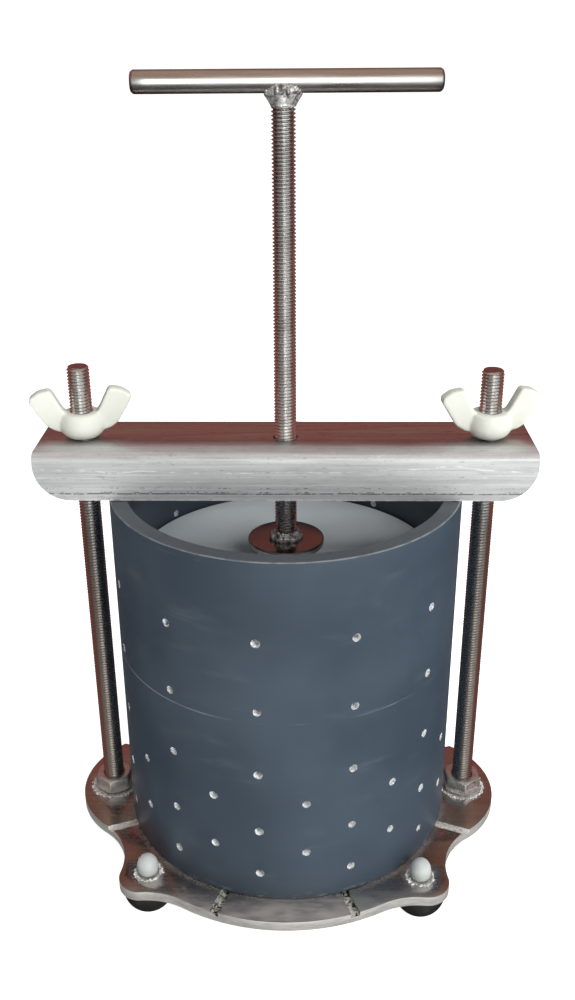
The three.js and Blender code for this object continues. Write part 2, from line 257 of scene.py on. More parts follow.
# ---------------------------------------------------------------- material helpers
class Shader:
    """A material's nodes around one Principled shader."""

    def __init__(self, name, color, rough, metal=0.0, **sockets):
        self.material = bpy.data.materials.new(name)
        self.material.use_nodes = True
        self.tree = self.material.node_tree
        self.bsdf = self.tree.nodes["Principled BSDF"]
        self.coord = self.tree.nodes.new("ShaderNodeTexCoord").outputs["Object"]
        self.bsdf.inputs["Base Color"].default_value = (*color, 1)
        self.bsdf.inputs["Roughness"].default_value = rough
        self.bsdf.inputs["Metallic"].default_value = metal
        for key, value in sockets.items():
            self.bsdf.inputs[key.replace("_", " ")].default_value = value

    def node(self, kind, settings=None, **inputs):
        n = self.tree.nodes.new("ShaderNode" + kind)
        for key, value in (settings or {}).items():
            setattr(n, key, value)
        for key, value in inputs.items():
            socket = n.inputs[int(key[1:])] if key[0] == "i" and key[1:].isdigit() else n.inputs[key]
            self.put(socket, value)
        return n

    def put(self, socket, value):
        if isinstance(value, bpy.types.NodeSocket):
            self.tree.links.new(value, socket)
        else:
            socket.default_value = value

    def into(self, name, value):
        self.put(self.bsdf.inputs[name], value)

    def math(self, operation, a, b=0.0, clamp=False):
        return self.node("Math", {"operation": operation, "use_clamp": clamp}, i0=a, i1=b).outputs[0]

    def scaled(self, scale, rotate=(0, 0, 0)):
        """Object coordinates stretched per axis, in lines per metre."""
        return self.node("Mapping", None, Vector=self.coord, Scale=scale, Rotation=rotate).outputs[0]

    def noise(self, scale, detail=3.0, rough=0.5, coord=None, distortion=0.0):
        n = self.node("TexNoise", None, Vector=coord or self.coord, Scale=scale, Detail=detail,
                      Roughness=rough, Distortion=distortion)
        return n.outputs["Fac"]

    def range(self, value, a, b, c=0.0, d=1.0, smooth=True):
        """Value mapped from a..b to c..d, clamped."""
        settings = {"interpolation_type": "SMOOTHSTEP" if smooth else "LINEAR"}
        n = self.node("MapRange", settings, Value=value)
        for key, v in zip(("From Min", "From Max", "To Min", "To Max"), (a, b, c, d)):
            n.inputs[key].default_value = v
        return n.outputs[0]

    def mix(self, factor, a, b):
        """Colour a to colour b by factor; either may be a socket."""
        n = self.tree.nodes.new("ShaderNodeMix")
        n.data_type = "RGBA"
        self.put(n.inputs[0], factor)
        for socket, value in ((n.inputs[6], a), (n.inputs[7], b)):
            self.put(socket, value if isinstance(value, bpy.types.NodeSocket) else (*value, 1))
        return n.outputs[2]

    def bump(self, heights):
        """heights is [(height socket, distance in mm, strength), ...], one on the other."""
        normal = None
        for height, distance, strength in heights:
            n = self.node("Bump", None, Height=height, Distance=distance * MM, Strength=strength)
            if normal is not None:
                self.put(n.inputs["Normal"], normal)
            normal = n.outputs[0]
        self.put(self.bsdf.inputs["Normal"], normal)

    def axes(self):
        n = self.node("SeparateXYZ", None, i0=self.coord)
        return n.outputs[0], n.outputs[1], n.outputs[2]

    def ring_distance(self, x_mm, y_mm, turn=0.0):
        """Distance in metres from the nearest of the vertical axes at +-x, +-y, turned about Z."""
        where = self.node("Mapping", None, Vector=self.coord, Rotation=(0, 0, -turn)).outputs[0]
        x, y, _ = self.node("SeparateXYZ", None, i0=where).outputs
        dx = self.math("SUBTRACT", self.math("ABSOLUTE", x), x_mm * MM)
        dy = self.math("SUBTRACT", self.math("ABSOLUTE", y), y_mm * MM)
        xx = self.math("MULTIPLY", dx, dx)
        yy = self.math("MULTIPLY", dy, dy)
        return self.math("SQRT", self.math("ADD", xx, yy))


def scratches(s, along, strength=1.0):
    """A mask of sparse fine scratches at a few angles in the plane of two stretched axes."""
    total = None
    for turn, seed in ((0.35, 3.1), (-0.6, 7.7), (1.3, 12.3)):
        rotate = (0, 0, turn) if along == "xy" else (0, turn, 0)
        scale = (14, 1500, 900) if along == "xy" else (14, 900, 1500)
        lines = s.noise(1.0, 2.0, 0.4, s.scaled(scale, rotate), 0.0)
        patch = s.noise(40 + seed, 2.0, 0.5)
        mask = s.math("MULTIPLY", s.range(lines, 0.66, 0.74), s.range(patch, 0.45, 0.62))
        total = mask if total is None else s.math("MAXIMUM", total, mask)
    return s.math("MULTIPLY", total, strength)


def steel(name, dark, light, rough, stretch, wear=0.6, plane="xz", grain_bump=0.5):
    """Stainless steel with a brushed grain; stretch is the grain's lines per metre per axis."""
    s = Shader(name, light, rough, 1.0)
    grain = s.noise(1.0, 4.0, 0.6, s.scaled(stretch))
    coarse = s.noise(1.0, 2.0, 0.5, s.scaled(tuple(k * 0.22 for k in stretch)))
    cloud = s.noise(28, 3.0, 0.55)
    scratch = scratches(s, plane, wear)
    tone = s.math("ADD", s.math("MULTIPLY", grain, 0.55), s.math("MULTIPLY", coarse, 0.45))
    color = s.mix(s.range(tone, 0.32, 0.68), dark, light)
    color = s.mix(s.math("MULTIPLY", s.range(cloud, 0.5, 0.75), 0.25), color, dark)
    color = s.mix(s.math("MULTIPLY", scratch, 0.5), color, (0.9, 0.9, 0.88))
    s.into("Base Color", color)
    level = s.math("ADD", s.range(cloud, 0.35, 0.7, rough - 0.05, rough + 0.09),
                   s.range(tone, 0.3, 0.7, -0.05, 0.07))
    s.into("Roughness", s.math("ADD", level, s.math("MULTIPLY", scratch, 0.12)))
    s.bump([(tone, 0.05, grain_bump), (scratch, 0.04, 0.35)])
    return s


# ---------------------------------------------------------------- materials
def bar_material():
    """Channel steel brushed along X, with dashed tool lines low on it. Its front and the faces below its top
    are made less metallic so they read paler, which is painted light.
    """
    s = steel("BrushedChannel", (0.61, 0.615, 0.612), (0.76, 0.766, 0.763), 0.3, (16, 1400, 1400), 1.0)
    _, y, z = s.axes()
    low, high = BAR_LO.z * MM, BAR_HI.z * MM
    color = s.bsdf.inputs["Base Color"].links[0].from_socket
    rough = s.bsdf.inputs["Roughness"].links[0].from_socket
    # Painted light: dull marks the front half of the top, the bend and the front face, and face marks every
    # face below the top. Both lose metal so they read paler.
    drift = s.noise(1.0, 3.0, 0.55, s.scaled((22, 60, 60)))
    bend = s.math("ADD", y, s.math("MULTIPLY", s.math("SUBTRACT", drift, 0.5), 0.011))
    dull = s.range(bend, -0.0035, -0.0195)
    face = s.range(z, high - 0.009, high - 0.003, 1.0, 0.0)
    streak = s.noise(1.0, 4.0, 0.7, s.scaled((11, 900, 900)))
    color = s.mix(s.range(streak, 0.52, 0.7, 0.0, 0.5), color, (0.36, 0.365, 0.37))
    color = s.mix(s.range(streak, 0.46, 0.3, 0.0, 0.55), color, (0.93, 0.935, 0.93))
    for height, gate, shift, dark in ((2.9, 0.36, 0.0, 0.9), (3.6, 0.5, 17.0, 0.8), (5.6, 0.52, 31.0, 0.6),
                                      (11.0, 0.56, 47.0, 0.3), (19.5, 0.56, 53.0, 0.35)):
        wobble = s.math("MULTIPLY", s.noise(1.0, 2.0, 0.5, s.scaled((60, 1, 1))), 0.0008)
        off = s.math("ABSOLUTE", s.math("SUBTRACT", s.math("SUBTRACT", z, low + height * MM), wobble))
        line = s.range(off, 0.00012, 0.00042, 1.0, 0.0)
        dashes = s.noise(1.0, 4.0, 0.75, s.scaled((330 + shift, 3, 3)))
        mark = s.math("MULTIPLY", line, s.range(dashes, gate, gate + 0.12))
        color = s.mix(s.math("MULTIPLY", mark, dark), color, (0.12, 0.115, 0.11))
    nick = s.noise(1.0, 5.0, 0.8, s.scaled((160, 600, 1100)))
    color = s.mix(s.range(nick, 0.59, 0.66, 0.0, 0.55), color, (0.2, 0.205, 0.21))
    color = s.mix(s.range(nick, 0.4, 0.34, 0.0, 0.6), color, (0.97, 0.97, 0.965))
    wave = s.math("MULTIPLY", s.noise(1.0, 2.0, 0.5, s.scaled((22, 1, 1))), 0.009)
    off = s.math("ABSOLUTE", s.math("SUBTRACT", s.math("SUBTRACT", z, low + 0.0095), wave))
    breaks = s.range(s.noise(1.0, 3.0, 0.7, s.scaled((150, 3, 3))), 0.44, 0.6)
    rub = s.math("MULTIPLY", s.range(off, 0.0001, 0.0005, 1.0, 0.0), breaks)
    color = s.mix(s.math("MULTIPLY", rub, 0.7), color, (0.98, 0.98, 0.97))
    stain = s.noise(1.0, 4.0, 0.65, s.scaled((45, 150, 190)))
    color = s.mix(s.math("MULTIPLY", s.range(stain, 0.5, 0.72), 0.32), color, (0.42, 0.43, 0.43))
    edge = s.range(z, low + 0.0009, low + 0.0002, 0.0, 1.0)
    color = s.mix(s.math("MULTIPLY", edge, s.range(s.noise(420, 3.0), 0.4, 0.6)), color, (0.95, 0.95, 0.93))
    s.into("Base Color", color)
    # Painted light: rougher on the front, and less metallic on the front and below the top.
    s.into("Roughness", s.math("ADD", rough, s.math("MULTIPLY", dull, 0.2)))
    s.into("Metallic", s.math("SUBTRACT", 1.0, s.math("MULTIPLY", s.math("MAXIMUM", dull, face), 0.45)))
    return s.material


def plate_material():
    """Base plate steel: satin brown-grey reflections, whitish deposits near nuts and studs, and a paler strip
    along the front that is painted light.
    """
    s = steel("PlateSteel", (0.52, 0.487, 0.458), (0.62, 0.583, 0.552), 0.24, (22, 700, 700), 0.9, "xy", 0.04)
    color = s.bsdf.inputs["Base Color"].links[0].from_socket
    rough = s.bsdf.inputs["Roughness"].links[0].from_socket
    speck = s.noise(900, 4.0, 0.7)
    cloud = s.noise(160, 4.0, 0.6)
    total = None
    for x, y, turn, inner, outer in ((TIE_X, 0.0, 0.0, 9.0, 13.5), (FOOT_X, FOOT_X, PLATE_TURN, 4.5, 9.5)):
        d = s.ring_distance(x, y, turn)
        mask = s.range(d, inner * MM, outer * MM, 1.0, 0.0)
        crust = s.math("ADD", speck, s.math("MULTIPLY", cloud, 0.6))
        mask = s.math("MULTIPLY", mask, s.range(crust, 0.72, 0.95))
        total = mask if total is None else s.math("MAXIMUM", total, mask)
    pale_ring_and_painted_shade = s.ring_distance(0.0, 0.0)
    pale_ring_and_painted_shade = s.math("MULTIPLY", s.range(pale_ring_and_painted_shade, 0.0803, 0.0835, 0.9, 0.0), s.range(speck, 0.3, 0.75))
    total = s.math("MAXIMUM", total, s.math("MULTIPLY", pale_ring_and_painted_shade, 0.45))
    total = s.math("MAXIMUM", total, s.math("MULTIPLY", s.range(speck, 0.7, 0.78), 0.3))
    # Painted light: a strip along the plate's front is made paler, rougher and less metallic.
    uneven = s.range(s.noise(1.0, 4.0, 0.6, s.scaled((90, 260, 260))), 0.25, 0.7, 0.35, 1.0)
    painted_front_light = s.math("MULTIPLY", s.range(s.axes()[1], -0.07, -0.087), uneven)
    total = s.math("MAXIMUM", total, s.math("MULTIPLY", painted_front_light, 0.46))
    # The pale colour serves both the deposits and the painted light along the front.
    s.into("Base Color", s.mix(total, color, (0.74, 0.72, 0.67)))
    s.into("Roughness", s.math("ADD", rough, s.math("MULTIPLY", total, 0.35)))
    s.into("Metallic", s.range(total, 0.0, 1.0, 1.0, 0.35, smooth=False))
    return s.material


def plate_edge_material():
    """The sawn and linished rim of the plate: paler and less glossy than its face."""
    s = steel("PlateEdge", (0.55, 0.54, 0.51), (0.78, 0.765, 0.73), 0.42, (240, 240, 1500), 0.4)
    s.bsdf.inputs["Metallic"].default_value = 0.65
    return s.material


def milled_material():
    """Freshly milled grooves and spot faces: torn, whitish metal with tool marks."""
    s = Shader("MilledSteel", (0.7, 0.68, 0.64), 0.5, 0.55)
    tear = s.noise(700, 5.0, 0.75, None, 0.6)
    chatter = s.noise(1.0, 3.0, 0.6, s.scaled((900, 900, 200)))
    s.into("Base Color", s.mix(s.range(tear, 0.35, 0.6), (0.55, 0.53, 0.49), (0.95, 0.93, 0.89)))
    s.into("Roughness", s.range(chatter, 0.35, 0.65, 0.35, 0.65))
    s.bump([(chatter, 0.12, 0.7), (tear, 0.2, 0.8)])
    return s.material


def residue_material():
    """White crumbs of dried residue and torn metal round the spot faces."""
    s = Shader("Residue", (0.8, 0.79, 0.76), 0.6, 0.0)
    torn = s.noise(800, 4.0, 0.7)
    s.into("Base Color", s.mix(s.range(torn, 0.36, 0.58), (0.74, 0.72, 0.68), (0.97, 0.965, 0.95)))
    s.into("Roughness", s.range(torn, 0.3, 0.7, 0.5, 0.75))
    s.bump([(torn, 0.12, 0.7)])
    return s.material


def dirty_groove_material():
    """Front drain grooves: dark residue with pale crumbs on torn metal."""
    s = Shader("DirtyGroove", (0.3, 0.3, 0.27), 0.55, 0.2)
    blotch = s.noise(330, 4.0, 0.65, None, 1.2)
    crumb = s.noise(620, 4.0, 0.7, None, 0.4)
    color = s.mix(s.range(blotch, 0.44, 0.54), (0.02, 0.022, 0.016), (0.5, 0.49, 0.43))
    color = s.mix(s.range(crumb, 0.56, 0.62), color, (0.78, 0.79, 0.7))
    s.into("Base Color", color)
    s.into("Roughness", s.range(blotch, 0.4, 0.6, 0.3, 0.7))
    s.bump([(blotch, 0.3, 0.8), (crumb, 0.2, 0.8)])
    return s.material


def thread_material():
    """Rolled thread: bright crests, darkened below the crossbar by painted shade."""
    s = Shader("ThreadSteel", (0.8, 0.79, 0.77), 0.22, 1.0)
    cloud = s.noise(120, 3.0, 0.6)
    fine = s.noise(1.0, 2.0, 0.5, s.scaled((500, 500, 260)))
    color = s.mix(s.range(cloud, 0.35, 0.7), (0.97, 0.965, 0.95), (0.86, 0.85, 0.83))
    color = s.mix(s.range(fine, 0.5, 0.75, 0.0, 0.3), color, (0.5, 0.48, 0.46))
    # Painted shade: the thread's colour darkens from just under the crossbar's top to 30 mm below its
    # underside.
    pale_ring_and_painted_shade = s.range(s.axes()[2], BAR_HI.z * MM - 0.002, BAR_LO.z * MM - 0.03, 0.0, 0.8)
    s.into("Base Color", s.mix(pale_ring_and_painted_shade, color, (0.36, 0.345, 0.325)))
    s.into("Roughness", s.range(fine, 0.3, 0.7, 0.16, 0.3))
    s.bump([(fine, 0.02, 0.3)])
    return s


def root_material():
    """Painted shade for the thread's root and the flank facing down next to it: a dark colour standing in for
    shadow.
    """
    s = Shader("ThreadRoot", (0.12, 0.115, 0.11), 0.45, 0.9)
    root_mottle = s.noise(900, 3.0, 0.6)
    color = s.mix(s.range(root_mottle, 0.35, 0.65), (0.05, 0.048, 0.045), (0.17, 0.163, 0.155))
    # Painted shade: the root darkens further from just under the crossbar's top downwards.
    pale_ring_and_painted_shade = s.range(s.axes()[2], BAR_HI.z * MM - 0.002, BAR_LO.z * MM - 0.03, 0.0, 0.9)
    s.into("Base Color", s.mix(pale_ring_and_painted_shade, color, (0.014, 0.013, 0.012)))
    s.into("Roughness", s.range(root_mottle, 0.3, 0.7, 0.35, 0.6))
    s.bump([(root_mottle, 0.03, 0.4)])
    return s.material


def pvc_material():
    """Rigid PVC pipe: extruded skin with drawn lines, scuffs, and one lathe-cut ring line."""
    s = Shader("GreyPVC", (0.056, 0.075, 0.098), 0.42, 0.0, Specular_IOR_Level=0.5)
    cloud = s.noise(16, 4.0, 0.55)
    rubbed = s.noise(1.0, 4.0, 0.6, s.scaled((34, 34, 130)))
    around = s.noise(1.0, 3.0, 0.55, s.scaled((10, 10, 1500)))
    drawn = s.noise(1.0, 2.0, 0.5, s.scaled((900, 900, 5)))
    color = s.mix(s.range(cloud, 0.34, 0.7), (0.034, 0.052, 0.073), (0.045, 0.067, 0.092))
    color = s.mix(s.math("MULTIPLY", s.range(rubbed, 0.56, 0.8), 0.35), color, (0.075, 0.098, 0.12))
    hair = s.math("MULTIPLY", s.range(around, 0.66, 0.74), s.range(rubbed, 0.5, 0.62))
    z = s.axes()[2]
    off = s.math("ABSOLUTE", s.math("SUBTRACT", z, (PLATE_TOP + RING_LINE) * MM))
    line = s.math("MULTIPLY", s.range(off, 0.00012, 0.00045, 1.0, 0.0),
                  s.range(s.noise(24, 3.0, 0.6), 0.4, 0.6))
    foot = s.math("MULTIPLY", s.range(z, (PLATE_TOP + 5) * MM, (PLATE_TOP + 0.5) * MM),
                  s.range(s.noise(1.0, 4.0, 0.7, s.scaled((150, 150, 420))), 0.52, 0.66))
    marks = s.math("MAXIMUM", s.math("MULTIPLY", hair, 0.28), s.math("MULTIPLY", line, 0.5))
    marks = s.math("MAXIMUM", marks, s.math("MULTIPLY", foot, 0.6))
    s.into("Base Color", s.mix(marks, color, (0.27, 0.29, 0.31)))
    level = s.math("ADD", s.range(cloud, 0.35, 0.7, 0.36, 0.46), s.range(rubbed, 0.5, 0.8, 0.0, 0.12))
    s.into("Roughness", s.math("ADD", level, s.math("MULTIPLY", marks, 0.2)))
    s.bump([(drawn, 0.02, 0.25), (around, 0.015, 0.25), (marks, 0.03, 0.3)])
    return s.material


def pvc_rim_material():
    """The pipe's turned end face, paler and matt."""
    s = Shader("PVCRim", (0.2, 0.21, 0.22), 0.6, 0.0)
    d = s.ring_distance(0.0, 0.0)
    turned = s.noise(1.0, 3.0, 0.6, s.node("CombineXYZ", None, i0=s.math("MULTIPLY", d, 2600.0)).outputs[0])
    cloud = s.noise(45, 3.0, 0.5)
    color = s.mix(s.range(turned, 0.3, 0.7), (0.052, 0.063, 0.072), (0.078, 0.093, 0.106))
    color = s.mix(s.range(cloud, 0.55, 0.8, 0.0, 0.35), color, (0.12, 0.135, 0.145))
    outer = s.math("MULTIPLY", s.range(d, 0.0793, 0.0797),
                   s.range(s.noise(260, 3.0, 0.6), 0.35, 0.6, 0.35, 0.9))
    s.into("Base Color", s.mix(outer, color, (0.2, 0.22, 0.235)))
    s.into("Roughness", s.range(cloud, 0.3, 0.7, 0.45, 0.65))
    s.bump([(turned, 0.05, 0.4)])
    return s.material


def pvc_burr_material():
    """Broken edges of the pipe and its drilled holes, whitened by the tool."""
    s = Shader("PVCBurr", (0.6, 0.62, 0.63), 0.6, 0.0)
    torn = s.noise(900, 4.0, 0.7)
    s.into("Base Color", s.mix(s.range(torn, 0.38, 0.6), (0.2, 0.215, 0.23), (0.8, 0.81, 0.8)))
    s.into("Roughness", s.range(torn, 0.3, 0.7, 0.5, 0.75))
    s.bump([(torn, 0.1, 0.7)])
    return s.material


def hole_material():
    """Drilled walls of the drain holes: torn pale plastic with a few dark streaks."""
    s = Shader("HoleWall", (0.75, 0.77, 0.78), 0.55, 0.0)
    torn = s.noise(650, 4.0, 0.7, None, 0.8)
    s.into("Base Color", s.mix(s.range(torn, 0.36, 0.52), (0.3, 0.32, 0.34), (0.93, 0.94, 0.94)))
    s.into("Roughness", s.range(torn, 0.3, 0.7, 0.4, 0.7))
    s.bump([(torn, 0.15, 0.8)])
    return s.material


def nylon_material(name, warm, cool):
    """Moulded white nylon: waxy, a little translucent, with a faint mould texture."""
    s = Shader(name, warm, 0.42, 0.0, Subsurface_Weight=0.35, Subsurface_Scale=0.0025,
               Specular_IOR_Level=0.45)
    s.bsdf.inputs["Subsurface Radius"].default_value = (1.0, 0.9, 0.75)
    cloud = s.noise(90, 3.0, 0.5)
    grain = s.noise(1600, 3.0, 0.6)
    s.into("Base Color", s.mix(s.range(cloud, 0.3, 0.7), warm, cool))
    s.into("Roughness", s.range(grain, 0.3, 0.7, 0.36, 0.5))
    s.bump([(cloud, 0.1, 0.25), (grain, 0.02, 0.3)])
    return s.material


def hdpe_material():
    """White polyethylene board turned on a lathe: fine rings, soft scuffs."""
    s = Shader("WhiteHDPE", (0.82, 0.84, 0.85), 0.45, 0.0, Subsurface_Weight=0.3,
               Subsurface_Scale=0.004, Specular_IOR_Level=0.45)
    s.bsdf.inputs["Subsurface Radius"].default_value = (1.0, 0.95, 0.9)
    d = s.ring_distance(0.0, 0.0)
    rings = s.node("TexWave", {"wave_type": "BANDS", "bands_direction": "X"}, Scale=160.0,
                   Distortion=0.6, Vector=s.node("CombineXYZ", None, i0=d).outputs[0]).outputs["Fac"]
    cloud = s.noise(35, 4.0, 0.55)
    scuff = scratches(s, "xy", 0.8)
    color = s.mix(s.range(cloud, 0.3, 0.7), (0.63, 0.685, 0.715), (0.69, 0.74, 0.765))
    s.into("Base Color", s.mix(s.math("MULTIPLY", scuff, 0.4), color, (0.55, 0.59, 0.61)))
    s.into("Roughness", s.range(cloud, 0.3, 0.7, 0.4, 0.55))
    s.bump([(rings, 0.02, 0.3), (scuff, 0.05, 0.3)])
    return s.material


def rubber_material():
    """Moulded black rubber with a dusty bloom."""
    s = Shader("BlackRubber", (0.02, 0.02, 0.021), 0.6, 0.0)
    dust = s.noise(120, 4.0, 0.6)
    grain = s.noise(1500, 3.0, 0.6)
    bloom = s.range(dust, 0.5, 0.8, 0.0, 0.5)
    s.into("Base Color", s.mix(bloom, (0.009, 0.009, 0.0085), (0.036, 0.036, 0.033)))
    s.into("Roughness", s.range(dust, 0.3, 0.7, 0.42, 0.7))
    s.bump([(grain, 0.05, 0.4)])
    return s.material


def weld_material():
    """Weld metal: bright ripples with dark scale and straw tint between them."""
    s = Shader("WeldBead", (0.55, 0.53, 0.5), 0.3, 1.0)
    scale = s.noise(420, 4.0, 0.65, None, 0.5)
    tint = s.noise(170, 2.0, 0.5)
    color = s.mix(s.range(scale, 0.36, 0.58), (0.17, 0.162, 0.155), (0.8, 0.79, 0.77))
    color = s.mix(s.range(tint, 0.5, 0.7, 0.0, 0.4), color, (0.55, 0.5, 0.44))
    s.into("Base Color", color)
    s.into("Metallic", s.range(scale, 0.3, 0.7, 0.9, 0.7))
    s.into("Roughness", s.range(scale, 0.3, 0.7, 0.42, 0.22))
    s.bump([(scale, 0.12, 0.6)])
    return s.material


def nut_material():
    """Cold-formed nut steel, slightly dull with a tumbled skin."""
    s = steel("NutSteel", (0.74, 0.735, 0.715), (0.92, 0.91, 0.89), 0.27, (500, 500, 700), 0.6)
    tumbled = s.noise(260, 3.0, 0.6)
    s.into("Metallic", s.range(tumbled, 0.3, 0.7, 0.98, 0.86))
    return s.material


def turned_material(name, dark, light, rough):
    """Turned or faced steel: fine rings about the vertical axis."""
    s = Shader(name, light, rough, 1.0)
    d = s.ring_distance(0.0, 0.0)
    rings = s.noise(1.0, 3.0, 0.6, s.node("CombineXYZ", None, i0=s.math("MULTIPLY", d, 2200.0)).outputs[0])
    cloud = s.noise(70, 3.0, 0.5)
    scratch = scratches(s, "xy", 0.7)
    color = s.mix(s.range(rings, 0.3, 0.7), dark, light)
    color = s.mix(s.math("MULTIPLY", scratch, 0.5), color, (0.85, 0.84, 0.82))
    s.into("Base Color", color)
    s.into("Roughness", s.range(cloud, 0.3, 0.7, rough - 0.05, rough + 0.08))
    s.bump([(rings, 0.02, 0.35), (scratch, 0.03, 0.3)])
    return s.material


BAR_STEEL = bar_material()
PLATE_STEEL = plate_material()
PLATE_EDGE = plate_edge_material()
MILLED = milled_material()
RESIDUE = residue_material()
DIRTY = dirty_groove_material()
THREAD = thread_material().material
THREAD_ROOT = root_material()
NUT_STEEL = nut_material()
HANDLE_STEEL = steel("HandleSteel", (0.66, 0.64, 0.61), (0.78, 0.76, 0.73), 0.3,
                     (12, 1800, 1800), 0.5).material
END_STEEL = turned_material("FacedSteel", (0.36, 0.34, 0.33), (0.6, 0.58, 0.56), 0.28)
DISC_STEEL = turned_material("DiscSteel", (0.27, 0.245, 0.235), (0.38, 0.35, 0.335), 0.2)
WELD = weld_material()
PVC = pvc_material()
PVC_RIM = pvc_rim_material()
PVC_BURR = pvc_burr_material()
HOLE = hole_material()
WING_NYLON = nylon_material("WingNylon", (0.7, 0.71, 0.64), (0.735, 0.745, 0.675))
CAP_NYLON = nylon_material("CapNylon", (0.5, 0.53, 0.52), (0.56, 0.59, 0.58))
HDPE = hdpe_material()
RUBBER = rubber_material()


# ---------------------------------------------------------------- threaded rods
def thread(radius, low, high, pitch=PITCH, segments=30, chamfer=(1.0, 1.0)):
    """A right-hand rolled thread about Z from low to high, cut off flat and chamfered.
    Returns vertices, faces and material indices (0 crest and most of the flanks, 1 root and the part of the
    flank facing down next to it, which carry painted shade)."""
    depth = THREAD_DEPTH * pitch
    steps = 7
    points = []
    for i in range(steps):
        u = i / steps
        points.append((u, radius - depth * (0.5 - 0.5 * math.cos(2 * math.pi * u)) ** 0.85))
    turns = int((high - low) / pitch) + 3
    rows = turns * segments
    verts, faces, index = [], [], []
    for k in range(rows + segments + 1):
        a = 2 * math.pi * k / segments
        for offset, r in points:
            z = low - 1.5 * pitch + pitch * (k / segments + offset)
            z = min(max(z, low), high)
            cap = radius - max(0.0, chamfer[0] - (z - low), chamfer[1] - (high - z))
            r = min(r, cap)
            verts.append((r * math.cos(a), r * math.sin(a), z))
    for k in range(rows):
        for j in range(steps):
            a = steps * k + j
            c = a + 1 if j < steps - 1 else steps * (k + segments)
            faces.append([a, a + steps, c + steps, c])
            # The root and the downward-facing flank beside it take the dark root material as painted shade.
            index.append(1 if j in (3, 4) else 0)
    return verts, faces, index


def threaded_rod(name, x, y, low, high, chamfer, radius=ROD_R, pitch=PITCH, segments=30):
    """A thread with a plain core inside, closed by flat end faces."""
    verts, faces, index = thread(radius, low, high, pitch, segments, chamfer)
    core = radius - THREAD_DEPTH * pitch
    more, caps = revolve([(0, low), (core, low), (core, high), (0, high)], segments)
    base = len(verts)
    faces += [[i + base for i in f] for f in caps]
    index += [2] * len(caps)
    steels = [THREAD, THREAD_ROOT, END_STEEL]
    return make(name, moved(verts + more, x, y), faces, steels, index, 70.0, False)


def build_rods():
    for side in ("left", "right"):
        lo, hi = box_mm(f"tie_rod_{side}")
        rod = threaded_rod(f"TieRod_{side}", (lo.x + hi.x) / 2, 0.0, lo.z, hi.z, (1.0, 0.9))
        place(rod, "base", f"tie_rod_{side}")
    lo, hi = box_mm("spindle_rod")
    rod = threaded_rod("SpindleRod", 0.0, 0.0, lo.z, hi.z, (1.0, 0.0))
    place(rod, "screw", "spindle_rod")
    for corner in CORNERS:
        lo, hi = box_mm(f"foot_stud_{corner}")
        c = (lo + hi) / 2
        stud = threaded_rod(f"FootStud_{corner}", c.x, c.y, lo.z, hi.z, (0.5, 0.5),
                            STUD_R, STUD_PITCH, 20)
        place(stud, "base", f"foot_stud_{corner}")


# ---------------------------------------------------------------- nuts
def hex_nut(name, node, body, turn=0.0, bore=ROD_R + 0.1):
    """A hexagon nut with chamfered corners, in the CAD node's place."""
    lo, hi = box_mm(node)
    c = (lo + hi) / 2
    apothem = 8.5
    face_r = apothem * 0.95
    tilt = math.tan(math.radians(30))
    n = 96
    rings = []
    for r, z, rim in ((bore, 0.35, 0), (bore + 0.35, 0, 0), (face_r, 0, 0), (0, 0, 1),
                      (0, 0, 2), (face_r, 1, 3), (bore + 0.35, 1, 3), (bore, 1, 4)):
        ring = []
        for i in range(n):
            a = 2 * math.pi * i / n
            fold = (a % (math.pi / 3)) - math.pi / 6
            out = apothem / math.cos(fold)
            drop = (out - face_r) * tilt
            radius = out if rim in (1, 2) else r
            level = {0: lo.z + z, 1: lo.z + drop, 2: hi.z - drop, 3: hi.z, 4: hi.z - 0.35}[rim]
            ring.append((radius * math.cos(a + turn), radius * math.sin(a + turn), level))
        rings.append(ring)
    verts = [v for ring in rings for v in ring]
    faces = []
    for k in range(len(rings)):
        m = (k + 1) % len(rings)
        for i in range(n):
            j = (i + 1) % n
            faces.append([k * n + i, k * n + j, m * n + j, m * n + i])
    nut = make(name, moved(verts, c.x, c.y), faces, [NUT_STEEL], None, 28.0)
    bevel(nut, 0.22, 2, 40.0)
    settle(nut, 50.0)
    return place(nut, body, node)


def build_nuts():
    for side, sx in (("left", -1), ("right", 1)):
        turn = math.pi / 6 + math.radians(sx * 4)
        hex_nut(f"TieUpperNut_{side}", f"tie_upper_nut_{side}", "base", turn)
        hex_nut(f"TieLowerNut_{side}", f"tie_lower_nut_{side}", "base")
    hex_nut("SpindleNut", "spindle_nut", "bar")
    hex_nut("RetainingNut", "retaining_nut", "screw")


